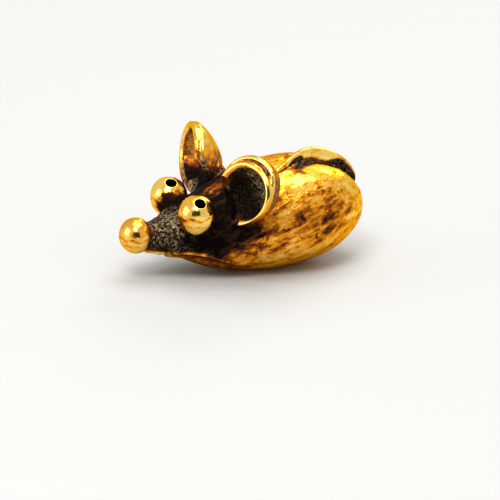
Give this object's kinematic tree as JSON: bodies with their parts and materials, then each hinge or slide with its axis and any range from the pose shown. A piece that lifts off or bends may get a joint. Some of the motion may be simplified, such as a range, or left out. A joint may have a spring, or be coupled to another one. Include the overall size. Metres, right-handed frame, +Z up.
{
  "type": "mouse figurine",
  "caption": "Miniature mouse of cast brass lying on a flat belly, with a ball nose, bead eyes with drilled pupils, cupped rimmed ears and a tail laid over its back.",
  "frame": {"origin": "middle of the bounding box, on the plane the belly rests on", "axes": "-X to the nose, +X to the rump, -Y to the mouse's left, +Z up"},
  "size_m": [0.0138, 0.0094, 0.007],
  "materials": {
    "patinated_brass": "cast brass, polished on the high spots, dark brown patina in the hollows, streaked lengthwise",
    "polished_brass": "mirror-polished brass balls",
    "ear_brass": "cast brass with polished rims, black grainy hollows and a patinated back"
  },
  "bodies": {
    "root": {"body": "patinated_brass", "nose": "polished_brass", "eye_left": "polished_brass", "eye_right": "polished_brass", "ear_left": "ear_brass", "ear_right": "ear_brass", "tail": "patinated_brass"}
  },
  "joints": []
}
